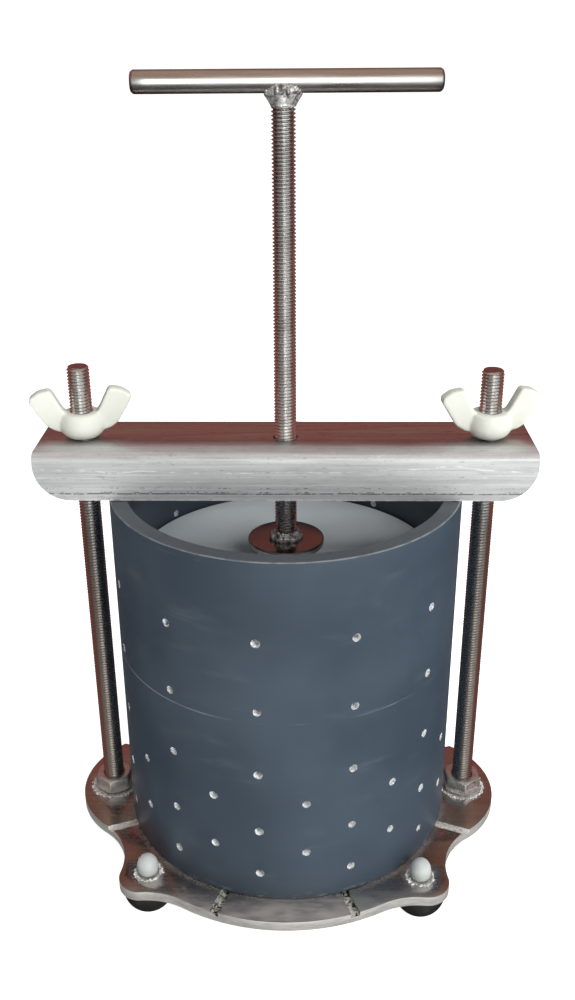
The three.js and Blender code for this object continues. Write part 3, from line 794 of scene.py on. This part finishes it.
# ---------------------------------------------------------------- wing nuts
def wing_nut(side, turn_deg):
    """A moulded wing nut: conical hub and two rounded wings melted into one skin."""
    node = f"wing_nut_{side}"
    foot = box_mm(node)[0].z
    x = TIE_X if side == "right" else -TIE_X
    cone = [(0, 0), (5.9, 0), (7.8, 1.0), (9.5, 3.0), (10.1, 5.4), (9.6, 8.2), (8.4, 11.8), (0, 12.0)]
    parts = [revolve(rounded(cone, 1.3), 64)]
    outline = [(3.5, 2.9), (9.4, 3.2), (12.2, 4.0), (15.9, 6.5), (22.4, 17.2), (22.0, 19.2), (18.1, 21.9),
               (13.3, 22.7), (12.1, 21.7), (7.9, 13.3), (6.4, 11.8), (3.5, 11.0)]
    smooth_line = rounded(outline + [outline[0], outline[1]], 1.4, 3)[1:-1]
    for flip in (0.0, math.pi):
        thick = 3.25
        verts, faces = prism(smooth_line, -thick, thick)
        verts = [(v[0], -v[2], v[1]) for v in verts]
        parts.append((moved(verts, 0, 0, 0, flip), faces))
    verts, faces = merged(parts[:1])
    body = make(f"WingNut_{side}", verts, faces, [WING_NYLON], None, 180)
    wings = []
    for v, f in parts[1:]:
        wing = make("wing", v, f, [WING_NYLON], None, 180)
        bevel(wing, 1.9, 4, 50.0)
        settle(wing)
        wings.append(wing)
    pieces = [body] + wings
    joined, faces = [], []
    for piece in pieces:
        base = len(joined)
        joined += [tuple(c / MM for c in v.co) for v in piece.data.vertices]
        faces += [[i + base for i in p.vertices] for p in piece.data.polygons]
    for piece in pieces:
        bpy.data.objects.remove(piece)
    nut = make(f"WingNut_{side}", joined, faces, [WING_NYLON], None, 180)
    voxel(nut, 0.42, 7)
    bore_r = ROD_R + 0.12
    bore = make("bore", *revolve([(0, -3), (bore_r, -3), (bore_r, 20), (0, 20)], 48), [WING_NYLON])
    cut(nut, [bore])
    shade(nut.data, 40.0)
    spin = Matrix.Rotation(math.radians(turn_deg), 4, "Z")
    nut.data.transform(Matrix.Translation(Vector((x, 0, foot)) * MM) @ spin)
    return place(nut, f"{side}_wing_nut", node)


# ---------------------------------------------------------------- base plate
def touching(c1, r1, c2, r2, r):
    """Centre of the circle of radius r that touches two circles from outside, clockwise of
    the line from the first to the second."""
    c1, c2 = Vector(c1), Vector(c2)
    line = c2 - c1
    d = line.length
    along = ((r1 + r) ** 2 - (r2 + r) ** 2 + d * d) / (2 * d)
    aside = math.sqrt((r1 + r) ** 2 - along ** 2)
    return c1 + line / d * along + Vector((line.y, -line.x)) / d * aside


def bearing(start, end):
    a = math.atan2(end[1] - start[1], end[0] - start[0])
    return a % (2 * math.pi)


def plate_outline():
    """The plate's outline: a disc with two ears and four foot lobes, with wide hollows between."""
    middle_r, ear, ear_r, lobe_r, hollow_r, saddle_r = 93.3, (65.0, 0.0), 41.3, 10.7, 31.5, 33.5
    lobe = (94 / math.sqrt(2), 94 / math.sqrt(2))
    hollow = touching(ear, ear_r, lobe, lobe_r, hollow_r)
    saddle = touching(lobe, lobe_r, (0, 0), middle_r, saddle_r)
    q = arc(*ear, ear_r, 0, bearing(ear, hollow), 24)
    q += arc(*hollow, hollow_r, bearing(hollow, ear), bearing(hollow, lobe), 16)[1:]
    q += arc(*lobe, lobe_r, bearing(lobe, hollow) - 2 * math.pi, bearing(lobe, saddle), 30)[1:]
    q += arc(*saddle, saddle_r, bearing(saddle, lobe), bearing(saddle, (0, 0)), 14)[1:]
    q += arc(0, 0, middle_r, bearing((0, 0), saddle), math.pi / 2, 20)[1:]
    half = q + [(-x, y) for x, y in reversed(q)][1:]
    whole = half + [(-x, -y) for x, y in half][1:-1]
    return [v[:2] for v in moved([(x, y, 0) for x, y in whole], 0, 0, 0, PLATE_TURN)]


def groove_cutter(azimuth, material, seed):
    """A milled groove running outwards, with slightly ragged sides."""
    rnd = random.Random(seed)
    half, start, end = 2.1, 62.0, 112.0
    left, right = [], []
    steps = 34
    for i in range(steps + 1):
        d = start + (end - start) * i / steps
        left.append((d, half + rnd.uniform(-0.16, 0.16)))
        right.append((d, -half + rnd.uniform(-0.16, 0.16)))
    nose = arc(start, 0, half, math.pi / 2, 3 * math.pi / 2, 8)
    outline = nose + right[1:] + left[::-1][:-1]
    verts, faces = prism(outline, PLATE_TOP - 2.0, PLATE_TOP + 1.0)
    return make("groove", moved(verts, 0, 0, 0, azimuth), faces, [material], None, 30)


def ragged_disc(x, y, radius, low, high, material, seed, amount=0.3):
    rnd = random.Random(seed)
    points = []
    n = 72
    wave = [rnd.uniform(-amount, amount) for _ in range(n)]
    for i in range(n):
        r = radius + (wave[i] + wave[(i + 1) % n]) / 2
        a = 2 * math.pi * i / n
        points.append((x + r * math.cos(a), y + r * math.sin(a)))
    verts, faces = prism(points, low, high)
    return make("spot", verts, faces, [material], None, 30)


def burr_ring(x, y, radius, seed, size=0.45):
    """Crumbs of torn metal and residue thrown up round a spot-faced hole."""
    rnd = random.Random(seed)
    parts = []
    for i in range(int(radius * 16)):
        a = rnd.uniform(0, 2 * math.pi)
        r = radius + rnd.gauss(0, 0.42)
        s = size * rnd.uniform(0.35, 1.0)
        centre = (x + r * math.cos(a), y + r * math.sin(a), PLATE_TOP + rnd.uniform(-0.15, 0.2))
        parts.append(ball(centre, (s * rnd.uniform(0.8, 1.6), s * rnd.uniform(0.8, 1.6), s * 0.75), 4, 6))
    return merged(parts)


def build_plate():
    verts, faces = prism(plate_outline(), PLATE_BOTTOM, PLATE_TOP)
    index = [0, 0] + [1] * (len(faces) - 2)
    plate = make("BasePlate", verts, faces, [PLATE_STEEL, PLATE_EDGE, MILLED, DIRTY], index, 30)
    cutters = []
    for i, azimuth in enumerate((20.0, 68.5)):
        for j, (centre, sign) in enumerate(((-90, 1), (-90, -1), (90, 1), (90, -1))):
            dirty = i == 0 and j < 2
            angle = math.radians(centre + sign * azimuth)
            cutters.append(groove_cutter(angle, DIRTY if dirty else MILLED, 10 * i + j))
    for side, x in (("left", -TIE_X), ("right", TIE_X)):
        cutters.append(ragged_disc(x, 0, 11.2, PLATE_TOP - 0.5, PLATE_TOP + 1, MILLED, 40 + len(side)))
    for i, c in enumerate(FEET):
        cutters.append(ragged_disc(c.x, c.y, 6.6, PLATE_TOP - 0.6, PLATE_TOP + 1, MILLED, 50 + i))
    cut(plate, cutters)
    holes = []
    low, high = PLATE_BOTTOM - 5, PLATE_TOP + 5
    for x, y, r in [(-TIE_X, 0, ROD_R), (TIE_X, 0, ROD_R)] + [(c.x, c.y, STUD_R) for c in FEET]:
        v, f = revolve([(0, low), (r + 0.25, low), (r + 0.25, high), (0, high)], 40)
        holes.append(make("hole", moved(v, x, y), f, [MILLED]))
    cut(plate, holes)
    bevel(plate, 0.3, 2, 50.0)
    settle(plate, 35.0)
    crumbs = [burr_ring(-TIE_X, 0, 11.2, 61), burr_ring(TIE_X, 0, 11.2, 62)]
    for i, c in enumerate(FEET):
        crumbs.append(burr_ring(c.x, c.y, 6.2, 70 + i, 0.46))
    verts, faces = merged(crumbs)
    burr = make("PlateBurrs", verts, faces, [RESIDUE], None, 60)
    place(plate, "base", "base_plate")
    place(burr, "base", "base_plate")


# ---------------------------------------------------------------- feet and cap nuts
def build_feet():
    for corner, c in zip(CORNERS, FEET):
        lo, hi = box_mm(f"rubber_foot_{corner}")
        ball_r, centre = 12.2, 9.5
        flat = math.sqrt(ball_r ** 2 - centre ** 2)
        profile = [(0, 0), (flat - 0.6, 0), (flat, 0.12)]
        for i in range(1, 15):
            z = 0.5 + (hi.z - 0.9 - 0.5) * i / 14
            profile.append((math.sqrt(ball_r ** 2 - (z - centre) ** 2), z))
        profile += [(11.4, hi.z - 0.25), (10.6, hi.z), (3.25, hi.z), (3.25, 4.0), (0, 4.0)]
        verts, faces = revolve(profile, 72)
        foot = make(f"RubberFoot_{corner}", moved(verts, c.x, c.y), faces, [RUBBER], None, 40)
        place(foot, "base", f"rubber_foot_{corner}")
        lo, hi = box_mm(f"cap_nut_{corner}")
        skirt = ((3.25, 0.0), (4.1, 0.0), (4.45, 0.5), (4.7, 1.3), (4.86, 2.3), (4.9, 3.4))
        dome = [(r, lo.z + z) for r, z in skirt]
        rise = hi.z - lo.z - 3.8
        for i in range(1, 15):
            a = math.radians(90) * i / 14
            dome.append((4.9 * math.cos(a), hi.z - rise + rise * math.sin(a)))
        dome[-1] = (0, hi.z)
        dome += [(0, hi.z - 1.8), (3.25, hi.z - 3.4)]
        verts, faces = revolve(dome, 56, True)
        cap = make(f"CapNut_{corner}", moved(verts, c.x, c.y), faces, [CAP_NYLON], None, 60)
        place(cap, "base", f"cap_nut_{corner}")


# ---------------------------------------------------------------- perforated cylinder
def drain_holes():
    """(azimuth, height) of each drain hole; azimuth 0 is the front, growing to the right."""
    holes = []
    for i in range(12):
        main = math.radians(-8 + 30 * i)
        holes += [(main, PLATE_TOP + z) for z in (15, 39, 70, 102.5, 136)]
        holes += [(main + math.radians(15), PLATE_TOP + z) for z in (27.5, 54.5)]
    return holes


def build_cylinder():
    outer, inner = 80.0, 72.3
    low, high = CYL_LO.z, CYL_HI.z
    rows = [low + 0.5 + (high - 0.45 - low - 0.5) * i / 14 for i in range(15)]
    profile = [(outer - 0.5, low)] + [(outer, z) for z in rows] + [(outer - 0.45, high), (inner + 0.6, high)]
    rows[-1] = high - 0.6
    profile += [(inner, z) for z in reversed(rows)] + [(inner + 0.5, low)]
    verts, faces = revolve(profile, 180, True)
    tube = make("PressingCylinder", verts, faces, [PVC, PVC_RIM, PVC_BURR, HOLE], None, 30)
    parts = []
    rnd = random.Random(5)
    for azimuth, z in drain_holes():
        r = 1.75 + rnd.uniform(-0.1, 0.08)
        rim = 0.16 + rnd.uniform(-0.06, 0.12)
        v, f = revolve([(0, 66), (r, 66), (r, 79.55), (r + rim, 80.02), (r + rim + 1, 81.5), (0, 81.5)], 24)
        v = [(p[0], -p[2], p[1]) for p in v]
        parts.append(([(*q[:2], q[2] + z) for q in moved(v, 0, 0, 0, azimuth)], f))
    verts, faces = merged(parts)
    cutter = make("drills", verts, faces, [HOLE], None, 30)
    cut(tube, [cutter])
    colour_cylinder(tube.data, outer, inner, low, high)
    place(tube, "base", "pressing_cylinder")


def colour_cylinder(mesh, outer, inner, low, high):
    """Gives each face of the drilled pipe its material, and each corner a clean normal."""
    normals = [None] * len(mesh.loops)
    slots = {m.name: i for i, m in enumerate(mesh.materials)}
    for face in mesh.polygons:
        c = Vector(face.center) / MM
        n = face.normal
        flat = Vector((c.x, c.y, 0))
        r = flat.length
        out = flat.normalized()
        kind = "hole"
        if abs(n.z) > 0.9 and (c.z > high - 0.1 or c.z < low + 0.1):
            kind = "rim"
        elif abs(n.z) > 0.5 and (c.z > high - 0.7 or c.z < low + 0.6):
            kind = "edge"
        elif n.dot(out) > 0.97 and r > outer - 0.1:
            kind = "outer"
        elif n.dot(out) < -0.97 and r < inner + 0.1:
            kind = "inner"
        elif r > 79.5:
            kind = "burr"
        name = {"rim": "PVCRim", "edge": "PVCRim", "burr": "PVCBurr", "hole": "HoleWall"}.get(kind, "GreyPVC")
        face.material_index = slots[name]
        for li in face.loop_indices:
            p = mesh.vertices[mesh.loops[li].vertex_index].co
            d = Vector((p.x, p.y, 0)).normalized()
            normals[li] = d if kind == "outer" else -d if kind == "inner" else n.copy()
    mesh.shade_smooth()
    mesh.normals_split_custom_set(normals)


# ---------------------------------------------------------------- crossbar
def channel_outline():
    """The channel's section in (Y, Z)."""
    w, t, r = 22.5, 3.0, 4.0
    low, high = BAR_LO.z, BAR_HI.z
    inside = r - t
    n = 10
    return (
        [(-w, low), (-w + t, low)]
        + arc(-w + r, high - r, inside, math.pi, math.pi / 2, n)
        + arc(w - r, high - r, inside, math.pi / 2, 0, n)
        + [(w - t, low), (w, low)]
        + arc(w - r, high - r, r, 0, math.pi / 2, n)
        + arc(-w + r, high - r, r, math.pi / 2, math.pi, n)
    )


def build_crossbar():
    half = BAR_HI.x
    verts, faces = prism(channel_outline(), -half, half)
    verts = [(v[2], v[0], v[1]) for v in verts]
    bar = make("Crossbar", verts, faces, [BAR_STEEL, MILLED], None, 30)
    r, low, high = 16.0, BAR_LO.z, BAR_HI.z
    cutters = []
    for side in (-1, 1):
        curve = arc(half - r, low + r, r, 0, -math.pi / 2, 20)
        outline = [(half - r, low - 3), (half + 3, low - 3), (half + 3, low + r)] + curve
        v, f = prism(outline, -40, 40)
        v = [(side * p[0], p[2], p[1]) for p in v]
        cutters.append(make("corner", v, f, [BAR_STEEL]))
    for x, hole_r in ((-TIE_X, 5.75), (0.0, 5.5), (TIE_X, 5.75)):
        v, f = revolve([(0, high - 12), (hole_r, high - 12), (hole_r, high + 8), (0, high + 8)], 48)
        cutters.append(make("hole", moved(v, x), f, [BAR_STEEL]))
    cut(bar, cutters)
    bevel(bar, 0.35, 3, 40.0)
    settle(bar, 40.0)
    place(bar, "bar", "crossbar")


# ---------------------------------------------------------------- follower and screw
def build_follower():
    lo, hi = box_mm("follower_plate")
    roof = lo.z + 16
    profile = [(5.6, hi.z), (71.4, hi.z), (71.4, lo.z), (15, lo.z), (15, roof), (5.6, roof),
               (5.6, hi.z - 0.8)]
    profile = rounded(profile, 1.1, 4)[1:]
    verts, faces = revolve(profile, 160, True)
    disc = make("FollowerPlate", verts, faces, [HDPE], None, 40)
    place(disc, "follower", "follower_plate")


def build_disc():
    lo, hi = box_mm("foot_disc")
    profile = rounded([(5.3, lo.z + 0.2), (5.3, hi.z), (17.75, hi.z), (17.75, lo.z), (5.3, lo.z)], 0.7, 4)
    verts, faces = revolve(profile, 96, True)
    disc = make("FootDisc", verts, faces, [DISC_STEEL], None, 40)
    place(disc, "screw", "foot_disc")
    lo, hi = box_mm("retaining_washer")
    profile = rounded([(5.3, lo.z + 0.2), (5.3, hi.z), (12.5, hi.z), (12.5, lo.z), (5.3, lo.z)], 0.3, 3)
    verts, faces = revolve(profile, 64, True)
    washer = make("RetainingWasher", verts, faces, [NUT_STEEL], None, 40)
    place(washer, "screw", "retaining_washer")


def build_handle():
    lo, hi = box_mm("tee_handle")
    r = (hi.z - lo.z) / 2
    half = 61.3
    end = [(0, -half), (r - 1.5, -half), (r - 0.8, -half + 0.25), (r - 0.2, -half + 0.95), (r, -half + 1.5)]
    mid = [(r, -half + 1.5 + (2 * half - 3.0) * i / 24) for i in range(1, 24)]
    tail = [(x, -z) for x, z in reversed(end)]
    verts, faces = revolve(end + mid + tail, 64)
    verts = [(v[2] + 1.7, v[1], HANDLE.z - v[0]) for v in verts]
    bar = make("TeeHandle", moved(verts, 0, 0, 0, HANDLE_TURN), faces, [HANDLE_STEEL], None, 35)
    place(bar, "screw", "tee_handle")


def build_handle_weld():
    """Weld metal filling the corners under the bar, with oval pads and a zigzag run on both faces."""
    rnd = random.Random(11)
    under = box_mm("tee_handle")[0].z
    fillet = [(0, -4.9), (5.0, -4.9), (5.3, -4.2), (6.4, -2.3), (7.7, -0.5), (7.5, 0.7), (0, 0.7)]
    cone, faces = revolve(fillet, 40)
    cone = [(x, y * (1 - 0.32 * max(0.0, (z + 4.2) / 4.9)), z) for x, y, z in cone]
    parts = [(cone, faces), ball((0, 0, 0.9), (7.7, 5.9, 4.3), 14, 28)]

    def face_y(x, z, lift=0.0):
        left = 1 - (x / 7.7) ** 2 - ((z - 0.9) / 4.3) ** 2
        body = 5.9 * math.sqrt(max(0.0, left))
        neck = 5.0 if abs(x) < 3.2 and z < -1 else 0.0
        return max(body, math.sqrt(max(0.0, neck ** 2 - x * x)), 2.4) + lift

    def bead(points, size, step=0.7):
        for (x0, z0), (x1, z1) in zip(points, points[1:]):
            n = max(1, int(math.hypot(x1 - x0, z1 - z0) / step))
            for k in range(n):
                x = x0 + (x1 - x0) * k / n + rnd.uniform(-0.15, 0.15)
                z = z0 + (z1 - z0) * k / n + rnd.uniform(-0.15, 0.15)
                s = size * rnd.uniform(0.8, 1.2)
                parts.append(ball((x, sy * face_y(x, z), z), (s, s * 0.8, s), 6, 8))

    for sy in (-1, 1):
        for cx, cz, rx, rz, tilt in ((-4.7, 1.1, 2.1, 3.0, 0.35), (3.7, 0.4, 2.0, 3.5, -0.3)):
            ring = []
            for i in range(19):
                a = 2 * math.pi * i / 18
                ring.append((cx + rx * math.cos(a) + tilt * rz * math.sin(a) * 0.4, cz + rz * math.sin(a)))
            bead(ring, 0.72)
        bead([(-2.9, -2.2), (-1.6, -1.2), (-1.9, 0.2), (-0.6, 0.9), (-0.2, 2.2), (1.2, 2.6),
              (1.3, 3.6)], 0.78)
        bead([(-2.6, -3.2), (-1.4, -3.0), (-0.4, -1.6), (-0.1, -3.4)], 0.62)
        bead([(5.9, 3.0), (6.6, 1.8), (6.3, 0.2), (5.4, -1.4)], 0.6)
        bead([(-4.6, -4.2), (-2.0, -4.5), (0.6, -4.3), (3.0, -4.5), (4.4, -4.1)], 0.6)
    verts, faces = merged(parts)
    weld = make("HandleWeld", moved(verts, 0, 0, under, HANDLE_TURN), faces, [WELD], None, 180)
    voxel(weld, 0.26, 1)
    place(weld, "screw", "handle_weld")


def build_foot_weld():
    """A ring of overlapping weld ripples round the screw on the foot disc."""
    rnd = random.Random(23)
    base = box_mm("foot_weld")[0].z - 0.3
    fillet = [(r, base + z) for r, z in ((4.6, 0.0), (7.0, 0.0), (6.6, 1.4), (5.5, 3.4), (4.6, 3.9))]
    parts = [revolve(fillet, 48, True)]
    n = 26
    for i in range(n):
        a = 2 * math.pi * i / n
        r = 6.15 + rnd.uniform(-0.25, 0.3)
        size = 1.35 + rnd.uniform(-0.2, 0.25)
        z = base + 1.0 + rnd.uniform(-0.1, 0.5)
        parts.append(ball((r * math.cos(a), r * math.sin(a), z), (size, size, size * 1.1)))
        r = 5.35 + rnd.uniform(-0.1, 0.15)
        z = base + 2.9 + rnd.uniform(-0.4, 0.6)
        parts.append(ball((r * math.cos(a + 0.1), r * math.sin(a + 0.1), z), (0.85, 0.85, 1.1)))
    verts, faces = merged(parts)
    weld = make("FootWeld", verts, faces, [WELD], None, 180)
    voxel(weld, 0.26, 1)
    place(weld, "screw", "foot_weld")


build_plate()
build_feet()
build_cylinder()
build_rods()
build_nuts()
build_crossbar()
build_follower()
build_disc()
build_handle()
build_handle_weld()
build_foot_weld()
wing_nut("left", 10)
wing_nut("right", 6)


# ---------------------------------------------------------------- studio
def build_floor():
    verts = [(-9000, -9000, 0), (9000, -9000, 0), (9000, 14000, 0), (-9000, 14000, 0)]
    s = Shader("PaleFloor", (0.88, 0.88, 0.88), 0.8, 0.0, Emission_Strength=0.9)
    s.bsdf.inputs["Emission Color"].default_value = (1, 1, 1, 1)
    cloud = s.noise(3, 2.0)
    s.into("Base Color", s.mix(s.range(cloud, 0.3, 0.7), (0.87, 0.87, 0.87), (0.89, 0.89, 0.89)))
    floor = make("Floor", verts, [[0, 1, 2, 3]], [s.material], None, 30.0, False)
    floor.visible_glossy = False


def area(name, location, target, size, power, color=(1, 1, 1)):
    light = bpy.data.lights.new(name, "AREA")
    light.shape = "RECTANGLE"
    light.size, light.size_y = size
    light.energy = power
    light.color = color
    obj = link(bpy.data.objects.new(name, light))
    obj.location = Vector(location)
    obj.rotation_euler = (Vector(target) - Vector(location)).to_track_quat("-Z", "Y").to_euler()
    return obj


def build_world():
    """White to the camera and for soft light. Reflections see a room: a bright front below a
    brown-grey ceiling, a dark red wall behind and dark ground."""
    world = bpy.data.worlds.new("Studio")
    SCENE.world = world
    world.use_nodes = True
    tree = world.node_tree
    tree.nodes.clear()

    def link_in(socket, value):
        if isinstance(value, bpy.types.NodeSocket):
            tree.links.new(value, socket)
        else:
            socket.default_value = value

    def mix(factor, a, b):
        n = tree.nodes.new("ShaderNodeMix")
        n.data_type = "RGBA"
        link_in(n.inputs[0], factor)
        for socket, value in ((n.inputs[6], a), (n.inputs[7], b)):
            link_in(socket, value if isinstance(value, bpy.types.NodeSocket) else (*value, 1))
        return n.outputs[2]

    def span(value, a, b, smooth=True):
        n = tree.nodes.new("ShaderNodeMapRange")
        n.interpolation_type = "SMOOTHSTEP" if smooth else "LINEAR"
        link_in(n.inputs["Value"], value)
        n.inputs["From Min"].default_value = a
        n.inputs["From Max"].default_value = b
        return n.outputs[0]

    def bands(height, stops):
        """Colour by the direction's height, from [(height, colour), ...] upwards."""
        color = stops[0][1]
        for (low, _), (high, after) in zip(stops, stops[1:]):
            color = mix(span(height, low, high), color, after)
        return color

    split = tree.nodes.new("ShaderNodeSeparateXYZ")
    tree.links.new(tree.nodes.new("ShaderNodeTexCoord").outputs["Generated"], split.inputs[0])
    x, y, z = split.outputs
    ceiling = (0.4, 0.29, 0.235)
    daylight = (1.2, 1.24, 1.26)
    front = bands(z, [(-1.0, (0.04, 0.018, 0.017)), (-0.9, (0.12, 0.085, 0.085)),
                      (-0.36, (0.12, 0.12, 0.125)), (-0.14, daylight), (0.28, daylight),
                      (0.62, (0.55, 0.47, 0.42)), (0.95, ceiling)])
    back = bands(z, [(-0.7, (0.02, 0.012, 0.011)), (0.05, (0.06, 0.032, 0.03)), (0.34, (0.29, 0.088, 0.078)),
                     (0.72, (0.19, 0.1, 0.078)), (0.95, ceiling)])
    lamp = bands(z, [(-0.45, (0.12, 0.12, 0.125)), (-0.16, (2.7, 2.8, 2.8)),
                     (0.24, (2.7, 2.8, 2.8)), (0.6, ceiling)])
    dim = bands(z, [(-0.36, (0.1, 0.1, 0.105)), (-0.14, (0.42, 0.45, 0.46)), (0.28, (0.42, 0.45, 0.46)),
                    (0.62, (0.42, 0.35, 0.31)), (0.95, ceiling)])
    front = mix(span(x, -0.32, 0.1), dim, front)
    front = mix(span(x, -0.28, 0.02), front, mix(span(x, 0.5, 0.1), front, lamp))
    room = mix(span(y, -0.05, -0.75), back, front)
    rays = tree.nodes.new("ShaderNodeLightPath")
    soft = mix(span(x, -0.9, 0.5), (0.07, 0.07, 0.07), (0.25, 0.253, 0.258))
    color = mix(rays.outputs["Is Glossy Ray"], soft, room)
    color = mix(rays.outputs["Is Camera Ray"], color, (1.0, 1.0, 1.0))
    sky = tree.nodes.new("ShaderNodeBackground")
    tree.links.new(color, sky.inputs["Color"])
    out = tree.nodes.new("ShaderNodeOutputWorld")
    tree.links.new(sky.outputs[0], out.inputs[0])


def build_lights():
    front = area("Front", (1.05, -1.25, 1.0), (0, 0, 0.15), (1.3, 1.0), 27)
    top = area("Top", (0.0, -0.2, 2.2), (0, 0, 0.1), (2.0, 1.4), 20)
    for light in (front, top):
        light.visible_glossy = False


def build_camera():
    """From in front of the press and a little above, looking down at 24 degrees."""
    pitch, yaw, roll = 0.4254, -0.0174, -0.0056
    where = Vector((0.0084, -0.4381, PLATE_TOP * MM + 0.3623))
    forward = Vector((math.sin(yaw) * math.cos(pitch), math.cos(yaw) * math.cos(pitch), -math.sin(pitch)))
    right = forward.cross(Vector((0, 0, 1))).normalized()
    up = right.cross(forward)
    right, up = (math.cos(roll) * right + math.sin(roll) * up,
                 math.cos(roll) * up - math.sin(roll) * right)
    data = bpy.data.cameras.new("Camera")
    data.sensor_fit = "AUTO"
    data.sensor_width = 36.0
    data.lens = 1044.0 / 1000.0 * 36.0
    data.clip_start = 0.01
    data.clip_end = 50
    camera = link(bpy.data.objects.new("Camera", data))
    rotation = Matrix((right, up, -forward)).transposed()
    camera.matrix_world = Matrix.Translation(where) @ rotation.to_4x4()
    SCENE.camera = camera


build_floor()
build_world()
build_lights()
build_camera()
